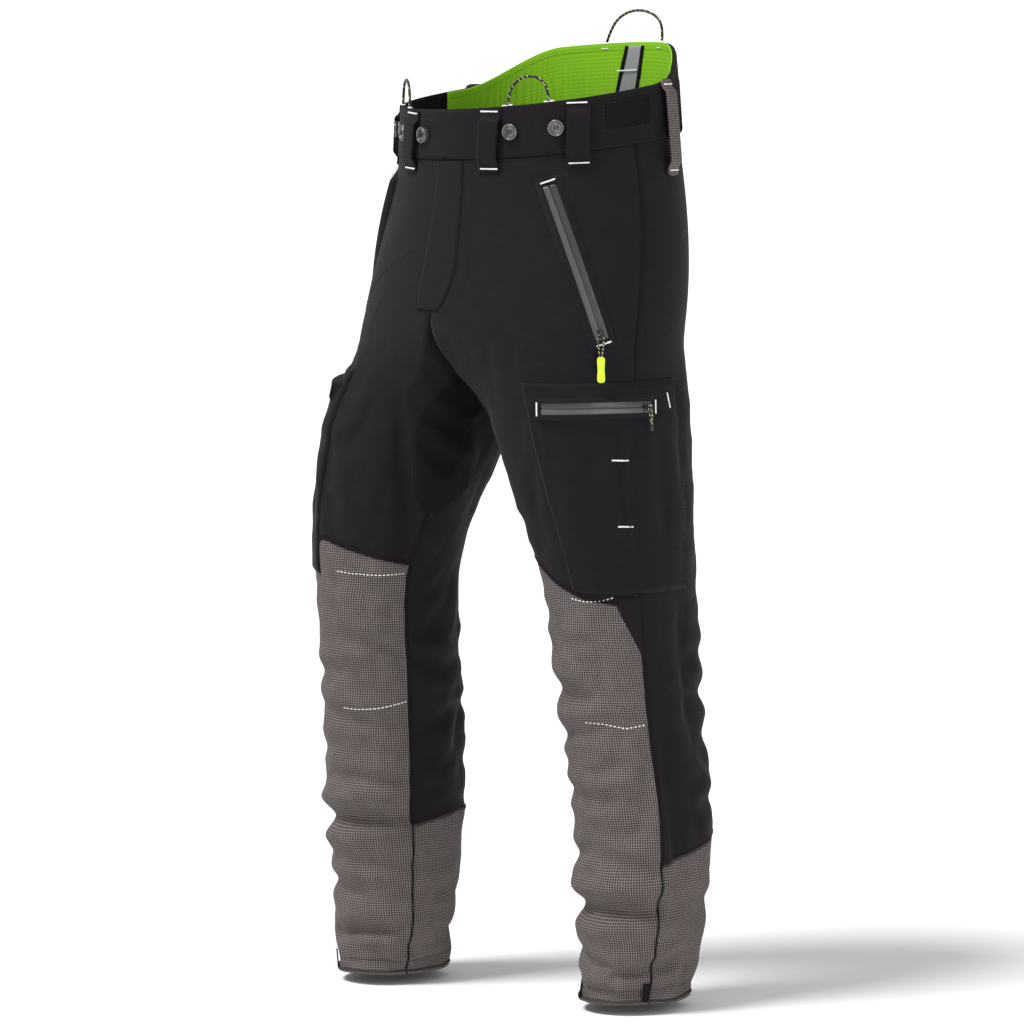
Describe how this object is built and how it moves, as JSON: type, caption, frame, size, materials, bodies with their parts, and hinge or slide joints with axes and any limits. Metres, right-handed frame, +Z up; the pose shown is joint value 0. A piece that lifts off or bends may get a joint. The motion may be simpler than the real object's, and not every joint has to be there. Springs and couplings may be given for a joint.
{
  "type": "chainsaw protective trousers",
  "caption": "Full-length chainsaw protective trousers as worn, with a raised back, zipped pockets, knee panels and legs that bend at the knee.",
  "frame": {"origin": "centre of the waist seam, where the wearer's waist holds the garment", "axes": "+Z up, -Y the wearer's front, +X the wearer's left"},
  "size_m": [0.4751, 0.3424, 1.1265],
  "materials": {
    "shell_cloth": "black ripstop weave, matt",
    "waist_cloth": "black twill, matt",
    "grid_cloth": "grey and black abrasion-resistant grid weave",
    "green_lining": "bright green brushed lining",
    "reflective_tape": "grey reflective webbing with black edges",
    "button_metal": "gunmetal, satin",
    "grey_webbing": "grey woven webbing",
    "hook_tape": "black hook and loop pile",
    "loop_cord": "black braided cord with yellow flecks",
    "pull_cord": "black braided cord with white flecks",
    "tab_rubber": "moulded rubber, bright yellow-green",
    "black_plastic": "moulded, satin",
    "slider_metal": "black enamel",
    "zip_tape": "laminated water-resistant tape, semi-gloss grey",
    "fly_tape": "black woven zip tape with moulded teeth",
    "saw_fibre": "loose cut-resistant fibre layers",
    "pocket_cloth": "black mesh"
  },
  "bodies": {
    "root": {"back_lining": "green_lining", "back_stripe": "reflective_tape", "belt_loops": "waist_cloth", "cargo_pocket_left": "shell_cloth", "cargo_pocket_right": "shell_cloth", "cargo_zip_left": "zip_tape", "cargo_zip_right": "zip_tape", "closure_tab": "waist_cloth", "cord_loop_back": "loop_cord", "cord_loop_left": "loop_cord", "cord_loop_right": "loop_cord", "crotch_gusset": "shell_cloth", "fly_flap": "shell_cloth", "fly_zip": "fly_tape", "gear_loops": "grey_webbing", "hand_pocket_bags": "pocket_cloth", "hand_zip_left": "zip_tape", "hand_zip_right": "zip_tape", "hip_panel_left": "shell_cloth", "hip_panel_right": "shell_cloth", "hook_strips": "hook_tape", "knee_back_left": "shell_cloth", "knee_back_right": "shell_cloth", "knee_front_left": "grid_cloth", "knee_front_right": "grid_cloth", "saw_pad_knee_left": "saw_fibre", "saw_pad_knee_right": "saw_fibre", "saw_pad_thigh_left": "saw_fibre", "saw_pad_thigh_right": "saw_fibre", "seat_panel_left": "shell_cloth", "seat_panel_right": "shell_cloth", "thigh_back_left": "shell_cloth", "thigh_back_right": "shell_cloth", "thigh_front_left": "shell_cloth", "thigh_front_right": "shell_cloth", "waist_buttons": "button_metal", "waistband_back": "waist_cloth", "waistband_left": "waist_cloth", "waistband_right": "waist_cloth"},
    "shin_left": {"ankle_back_left": "grid_cloth", "calf_back_left": "shell_cloth", "saw_pad_shin_left": "saw_fibre", "shin_front_left": "grid_cloth"},
    "shin_right": {"ankle_back_right": "grid_cloth", "calf_back_right": "shell_cloth", "saw_pad_shin_right": "saw_fibre", "shin_front_right": "grid_cloth"},
    "hand_slider_left": {"hand_slider_left": "slider_metal"},
    "hand_pull_left": {"hand_pull_cord_left": "pull_cord", "hand_pull_tab_left": "tab_rubber"},
    "cargo_slider_left": {"cargo_slider_left": "slider_metal"},
    "cargo_pull_left": {"cargo_pull_cord_left": "pull_cord", "cargo_pull_end_left": "black_plastic"},
    "hand_slider_right": {"hand_slider_right": "slider_metal"},
    "hand_pull_right": {"hand_pull_cord_right": "pull_cord", "hand_pull_tab_right": "tab_rubber"},
    "cargo_slider_right": {"cargo_slider_right": "slider_metal"},
    "cargo_pull_right": {"cargo_pull_cord_right": "pull_cord", "cargo_pull_end_right": "black_plastic"},
    "fly_slider": {"fly_slider": "slider_metal"}
  },
  "joints": [
    {"name": "knee_left", "type": "hinge", "parent": "root", "child": "shin_left", "pos_m": [0.14982, 0.03159, -0.586], "axis": [1, 0, 0], "range_deg": [0, 80], "deforming": ["knee_front_left", "knee_back_left", "saw_pad_knee_left"]},
    {"name": "knee_right", "type": "hinge", "parent": "root", "child": "shin_right", "pos_m": [-0.15058, -0.0771, -0.586], "axis": [1, 0, 0], "range_deg": [0, 80], "deforming": ["knee_front_right", "knee_back_right", "saw_pad_knee_right"]},
    {"name": "hand_zip_left", "type": "hinge", "parent": "root", "child": "hand_slider_left", "pos_m": [-0.33867, 0.31367, -0.24752], "axis": [-0.5365, -0.784, -0.3122], "range_deg": [0, 13]},
    {"name": "hand_pull_swing_left", "type": "hinge", "parent": "hand_slider_left", "child": "hand_pull_left", "pos_m": [0.20692, -0.08254, -0.19008], "axis": [-0.5876, -0.8092, 0], "range_deg": [0, 120]},
    {"name": "cargo_zip_left", "type": "hinge", "parent": "root", "child": "cargo_slider_left", "pos_m": [0.08804, -0.0243, -0.28362], "axis": [0.0636, -0.0324, -0.9975], "range_deg": [0, 40]},
    {"name": "cargo_pull_swing_left", "type": "hinge", "parent": "cargo_slider_left", "child": "cargo_pull_left", "pos_m": [0.2307, -0.02944, -0.27437], "axis": [-0.0379, -0.9988, 0.0301], "range_deg": [0, 90]},
    {"name": "hand_zip_right", "type": "hinge", "parent": "root", "child": "hand_slider_right", "pos_m": [0.35174, 0.31774, -0.26253], "axis": [-0.5205, 0.7885, 0.3277], "range_deg": [0, 13]},
    {"name": "hand_pull_swing_right", "type": "hinge", "parent": "hand_slider_right", "child": "hand_pull_right", "pos_m": [-0.2065, -0.08193, -0.1875], "axis": [-0.5821, 0.8131, 0], "range_deg": [0, 120]},
    {"name": "cargo_zip_right", "type": "hinge", "parent": "root", "child": "cargo_slider_right", "pos_m": [-0.0881, -0.0641, -0.30284], "axis": [0.2035, 0.1038, 0.9736], "range_deg": [0, 40]},
    {"name": "cargo_pull_swing_right", "type": "hinge", "parent": "cargo_slider_right", "child": "cargo_pull_right", "pos_m": [-0.22818, -0.06945, -0.27299], "axis": [-0.058, 0.9939, -0.0938], "range_deg": [0, 90]},
    {"name": "fly_zip_slide", "type": "slide", "parent": "root", "child": "fly_slider", "axis": [0, -0.1522, -0.9883], "range_m": [0, 0.14]}
  ]
}
